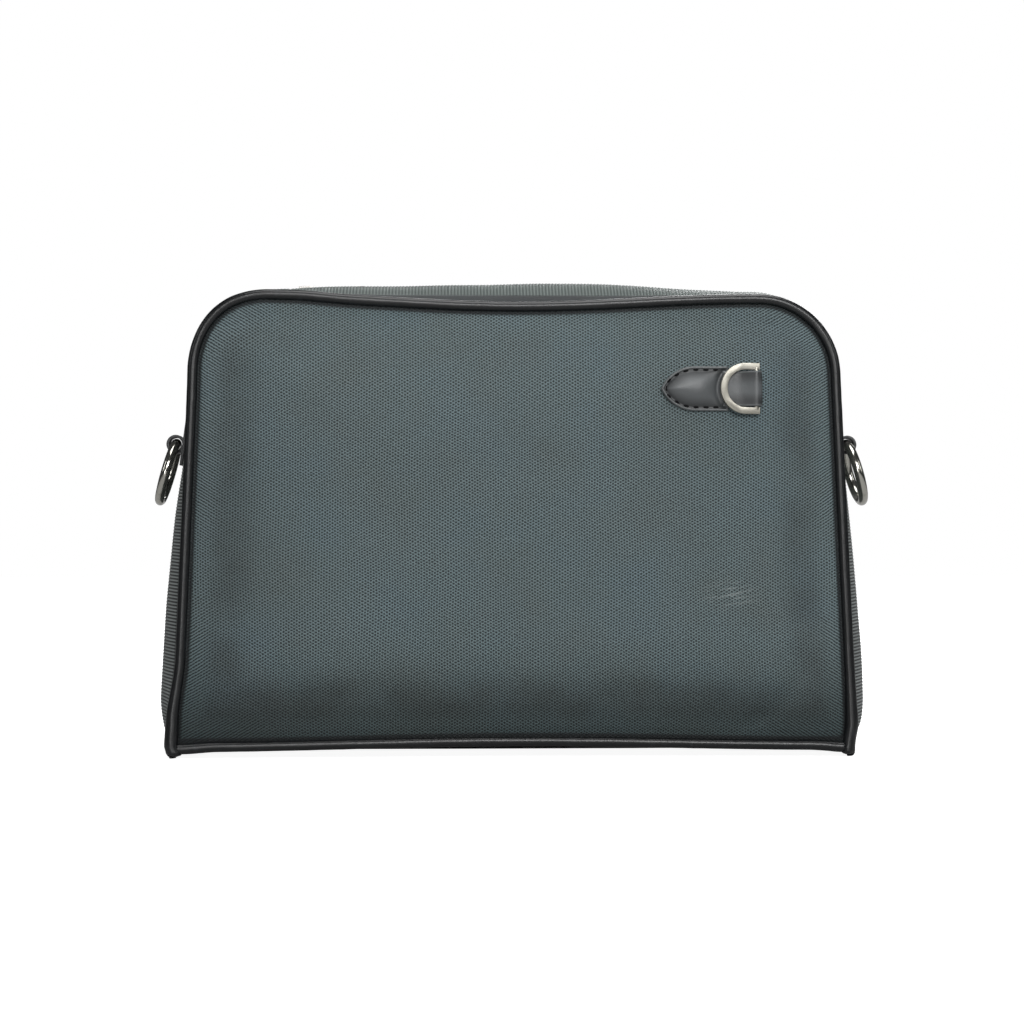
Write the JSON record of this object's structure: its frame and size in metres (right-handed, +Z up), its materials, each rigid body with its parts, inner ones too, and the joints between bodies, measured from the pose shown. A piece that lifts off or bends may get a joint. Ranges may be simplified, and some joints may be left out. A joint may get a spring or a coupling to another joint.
{
  "type": "messenger bag",
  "caption": "Zip-top messenger bag in ribbed and woven nylon with piped seams, a ring at each side and a D-ring on a front tab.",
  "frame": {"origin": "middle of the bag's footprint, on the surface it stands on", "axes": "+Z up, -Y out of the front (the side with the tab), +X to the right seen from the front"},
  "size_m": [0.315, 0.0882, 0.206],
  "materials": {
    "woven_nylon": "woven nylon, slate blue-grey, slightly coated, low sheen",
    "ribbed_nylon": "ribbed nylon, dark grey-green",
    "piping_leather": "smooth black leather round a cord, semi-gloss",
    "binding_tape": "black woven tape",
    "base_leather": "black leather, fine grain",
    "board": "stiff fibre board",
    "foam": "foam stiffener, bonded to the cloth",
    "lining_fabric": "smooth dark twill lining",
    "zip_tape": "black herringbone zip tape",
    "zip_coil": "black nylon coil",
    "zip_metal": "dark nickel-plated zinc",
    "side_leather": "black leather, painted edge",
    "ring_metal": "polished dark nickel",
    "tab_leather": "charcoal leather, fine grain, painted edge, black stitching",
    "d_ring_metal": "satin nickel, warm grey"
  },
  "bodies": {
    "bag": {"front_panel": "woven_nylon", "back_panel": "woven_nylon", "gusset_left": "ribbed_nylon", "gusset_right": "ribbed_nylon", "seam_binding_front": "binding_tape", "seam_binding_back": "binding_tape", "piping_front": "piping_leather", "piping_back": "piping_leather", "piping_base_front": "piping_leather", "piping_base_back": "piping_leather", "piping_end_left": "piping_leather", "piping_end_right": "piping_leather", "base_panel": "base_leather", "base_board": "board", "base_lining": "lining_fabric", "foam_front": "foam", "foam_back": "foam", "lining_front": "lining_fabric", "lining_back": "lining_fabric", "lining_left": "lining_fabric", "lining_right": "lining_fabric", "inner_pocket": "lining_fabric", "zip_top_stops": "zip_metal", "zip_bottom_stop": "zip_metal", "side_tab_left": "side_leather", "side_tab_right": "side_leather", "ring_tab": "tab_leather"},
    "mouth_front": {"zip_strip_front": "ribbed_nylon", "zip_tape_front": "zip_tape", "zip_coil_front": "zip_coil"},
    "mouth_back": {"zip_strip_back": "ribbed_nylon", "zip_tape_back": "zip_tape", "zip_coil_back": "zip_coil"},
    "slider": {"zip_slider": "zip_metal"},
    "pull": {"zip_pull": "zip_metal"},
    "left_ring": {"ring_left": "ring_metal"},
    "right_ring": {"ring_right": "ring_metal"},
    "tab_ring": {"d_ring": "d_ring_metal"}
  },
  "joints": [
    {"name": "zip_run", "type": "hinge", "parent": "bag", "child": "slider", "pos_m": [0, 0, -1.544], "axis": [0, 1, 0], "range_deg": [0, 5.84]},
    {"name": "mouth_front_open", "type": "hinge", "parent": "bag", "child": "mouth_front", "pos_m": [0, -0.0229, 0.1989], "axis": [1, 0, 0], "range_deg": [0, 60], "deforming": ["zip_tape_front", "zip_coil_front"]},
    {"name": "mouth_back_open", "type": "hinge", "parent": "bag", "child": "mouth_back", "pos_m": [0, 0.0229, 0.1989], "axis": [-1, 0, 0], "range_deg": [0, 60], "deforming": ["zip_tape_back", "zip_coil_back"]},
    {"name": "pull_flip", "type": "hinge", "parent": "slider", "child": "pull", "pos_m": [-0.09116, 0, 0.20257], "axis": [0, -1, 0], "range_deg": [0, 160]},
    {"name": "ring_left_swing", "type": "hinge", "parent": "bag", "child": "left_ring", "pos_m": [-0.1483, 0, 0.1348], "axis": [0, 1, 0], "range_deg": [-12, 146]},
    {"name": "ring_right_swing", "type": "hinge", "parent": "bag", "child": "right_ring", "pos_m": [0.1483, 0, 0.1348], "axis": [0, -1, 0], "range_deg": [-12, 146]},
    {"name": "d_ring_flip", "type": "hinge", "parent": "bag", "child": "tab_ring", "pos_m": [0.10297, -0.03912, 0.15794], "axis": [0, 0.0557, 0.9984], "range_deg": [0, 160]}
  ],
  "couplings": [
    {"joint": "mouth_front_open", "follows": "zip_run", "ratio": 10},
    {"joint": "mouth_back_open", "follows": "zip_run", "ratio": 10}
  ]
}
